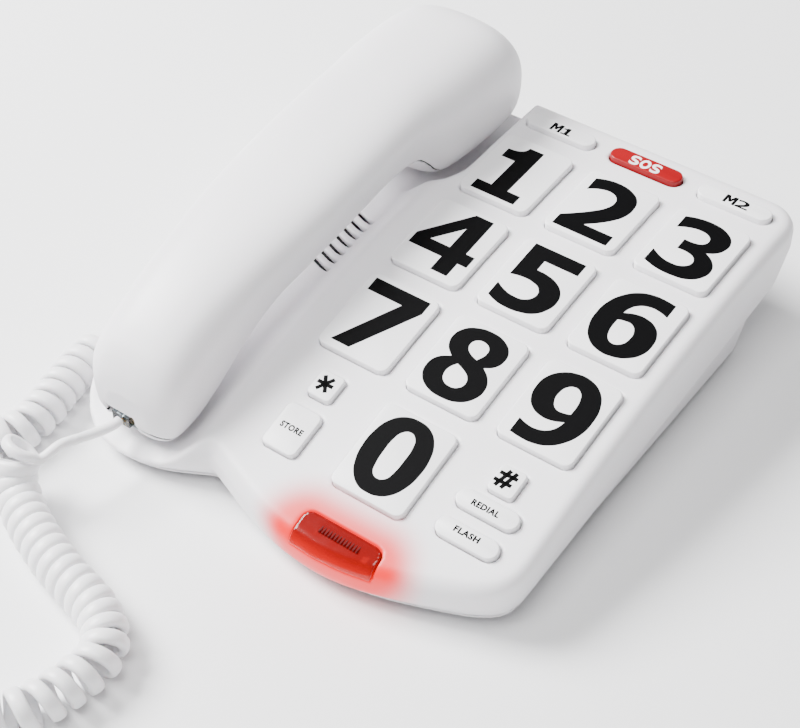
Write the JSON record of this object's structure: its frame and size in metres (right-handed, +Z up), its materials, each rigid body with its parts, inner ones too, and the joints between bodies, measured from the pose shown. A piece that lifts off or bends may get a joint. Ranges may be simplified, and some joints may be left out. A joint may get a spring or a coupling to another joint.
{
  "type": "corded desk telephone",
  "caption": "Corded desk telephone with large raised keys on an arched white base, a handset lying in its cradle, a red indicator window and a curly cord.",
  "frame": {"origin": "on the table under the middle of the base", "axes": "+X to the caller's right, +Y to the rear, +Z up"},
  "size_m": [0.2306, 0.3317, 0.0854],
  "materials": {
    "white_abs": "satin white ABS",
    "key_abs": "white ABS",
    "red_abs": "red ABS",
    "red_lens": "translucent red",
    "led_clear": "clear epoxy",
    "steel": "zinc plated",
    "grey_rubber": "matt",
    "silicone": "moulded silicone",
    "board_green": "glass-epoxy board",
    "black_plastic": "moulded",
    "clear_plastic": "clear polycarbonate",
    "cord_pvc": "white PVC"
  },
  "bodies": {
    "base": {"base_top_shell": "white_abs", "base_bottom_shell": "white_abs", "indicator_lens": "red_lens", "indicator_led_left": "led_clear", "indicator_led_right": "led_clear", "base_screw_1": "steel", "base_screw_2": "steel", "base_screw_3": "steel", "base_screw_4": "steel", "ballast_plate": "steel", "foot_1": "grey_rubber", "foot_2": "grey_rubber", "foot_3": "grey_rubber", "foot_4": "grey_rubber", "keypad_mat": "silicone", "main_board": "board_green", "indicator_board": "board_green", "ringer_speaker": "black_plastic", "hook_switch": "black_plastic", "line_jack": "black_plastic", "ringer_switch_body": "black_plastic", "base_cord_jack": "black_plastic", "cord_plug_base": "clear_plastic", "cord_lead_handset": "cord_pvc", "cord_coil": "cord_pvc", "cord_lead_base": "cord_pvc"},
    "handset": {"handset_outer_shell": "white_abs", "handset_inner_shell": "white_abs", "earpiece_speaker": "black_plastic", "microphone": "black_plastic", "handset_weight": "steel", "handset_screw": "steel", "handset_jack": "black_plastic", "cord_plug_handset": "clear_plastic"},
    "hook_plunger_body": {"hook_plunger": "white_abs"},
    "ringer_switch_slider": {"ringer_switch": "white_abs"},
    "key_0_body": {"key_0": "key_abs"},
    "key_1_body": {"key_1": "key_abs"},
    "key_2_body": {"key_2": "key_abs"},
    "key_3_body": {"key_3": "key_abs"},
    "key_4_body": {"key_4": "key_abs"},
    "key_5_body": {"key_5": "key_abs"},
    "key_6_body": {"key_6": "key_abs"},
    "key_7_body": {"key_7": "key_abs"},
    "key_8_body": {"key_8": "key_abs"},
    "key_9_body": {"key_9": "key_abs"},
    "key_star_body": {"key_star": "key_abs"},
    "key_hash_body": {"key_hash": "key_abs"},
    "key_store_body": {"key_store": "key_abs"},
    "key_redial_body": {"key_redial": "key_abs"},
    "key_flash_body": {"key_flash": "key_abs"},
    "key_m1_body": {"key_m1": "key_abs"},
    "key_sos_body": {"key_sos": "red_abs"},
    "key_m2_body": {"key_m2": "key_abs"}
  },
  "joints": [
    {"name": "handset_lift", "type": "slide", "parent": "base", "child": "handset", "axis": [0, 0, 1], "range_m": [0, 0.08]},
    {"name": "hook_plunger_slide", "type": "slide", "parent": "base", "child": "hook_plunger_body", "axis": [0, 0, 1], "range_m": [0, 0.004]},
    {"name": "ringer_switch_slide", "type": "slide", "parent": "base", "child": "ringer_switch_slider", "axis": [1, 0, 0], "range_m": [-0.0025, 0.0025]},
    {"name": "key_0_press", "type": "slide", "parent": "base", "child": "key_0_body", "axis": [0, 0.2545, -0.9671], "range_m": [0, 0.0012], "stiffness_N_per_m": 250, "springref_m": -0.0004},
    {"name": "key_1_press", "type": "slide", "parent": "base", "child": "key_1_body", "axis": [0, 0.0539, -0.9985], "range_m": [0, 0.0012], "stiffness_N_per_m": 250, "springref_m": -0.0004},
    {"name": "key_2_press", "type": "slide", "parent": "base", "child": "key_2_body", "axis": [0, 0.0539, -0.9985], "range_m": [0, 0.0012], "stiffness_N_per_m": 250, "springref_m": -0.0004},
    {"name": "key_3_press", "type": "slide", "parent": "base", "child": "key_3_body", "axis": [0, 0.0539, -0.9985], "range_m": [0, 0.0012], "stiffness_N_per_m": 250, "springref_m": -0.0004},
    {"name": "key_4_press", "type": "slide", "parent": "base", "child": "key_4_body", "axis": [0, 0.1214, -0.9926], "range_m": [0, 0.0012], "stiffness_N_per_m": 250, "springref_m": -0.0004},
    {"name": "key_5_press", "type": "slide", "parent": "base", "child": "key_5_body", "axis": [0, 0.1214, -0.9926], "range_m": [0, 0.0012], "stiffness_N_per_m": 250, "springref_m": -0.0004},
    {"name": "key_6_press", "type": "slide", "parent": "base", "child": "key_6_body", "axis": [0, 0.1214, -0.9926], "range_m": [0, 0.0012], "stiffness_N_per_m": 250, "springref_m": -0.0004},
    {"name": "key_7_press", "type": "slide", "parent": "base", "child": "key_7_body", "axis": [0, 0.1884, -0.9821], "range_m": [0, 0.0012], "stiffness_N_per_m": 250, "springref_m": -0.0004},
    {"name": "key_8_press", "type": "slide", "parent": "base", "child": "key_8_body", "axis": [0, 0.1884, -0.9821], "range_m": [0, 0.0012], "stiffness_N_per_m": 250, "springref_m": -0.0004},
    {"name": "key_9_press", "type": "slide", "parent": "base", "child": "key_9_body", "axis": [0, 0.1884, -0.9821], "range_m": [0, 0.0012], "stiffness_N_per_m": 250, "springref_m": -0.0004},
    {"name": "key_star_press", "type": "slide", "parent": "base", "child": "key_star_body", "axis": [0, 0.2363, -0.9717], "range_m": [0, 0.0012], "stiffness_N_per_m": 250, "springref_m": -0.0004},
    {"name": "key_hash_press", "type": "slide", "parent": "base", "child": "key_hash_body", "axis": [0, 0.2366, -0.9716], "range_m": [0, 0.0012], "stiffness_N_per_m": 250, "springref_m": -0.0004},
    {"name": "key_store_press", "type": "slide", "parent": "base", "child": "key_store_body", "axis": [0, 0.2664, -0.9639], "range_m": [0, 0.0012], "stiffness_N_per_m": 250, "springref_m": -0.0004},
    {"name": "key_redial_press", "type": "slide", "parent": "base", "child": "key_redial_body", "axis": [0, 0.2543, -0.9671], "range_m": [0, 0.0012], "stiffness_N_per_m": 250, "springref_m": -0.0004},
    {"name": "key_flash_press", "type": "slide", "parent": "base", "child": "key_flash_body", "axis": [0, 0.2724, -0.9622], "range_m": [0, 0.0012], "stiffness_N_per_m": 250, "springref_m": -0.0004},
    {"name": "key_m1_press", "type": "slide", "parent": "base", "child": "key_m1_body", "axis": [0, 0.0057, -1], "range_m": [0, 0.0012], "stiffness_N_per_m": 250, "springref_m": -0.0004},
    {"name": "key_sos_press", "type": "slide", "parent": "base", "child": "key_sos_body", "axis": [0, 0.0054, -1], "range_m": [0, 0.0012], "stiffness_N_per_m": 250, "springref_m": -0.0004},
    {"name": "key_m2_press", "type": "slide", "parent": "base", "child": "key_m2_body", "axis": [0, 0.0057, -1], "range_m": [0, 0.0012], "stiffness_N_per_m": 250, "springref_m": -0.0004}
  ],
  "couplings": [
    {"joint": "hook_plunger_slide", "follows": "handset_lift", "ratio": 0.05}
  ]
}
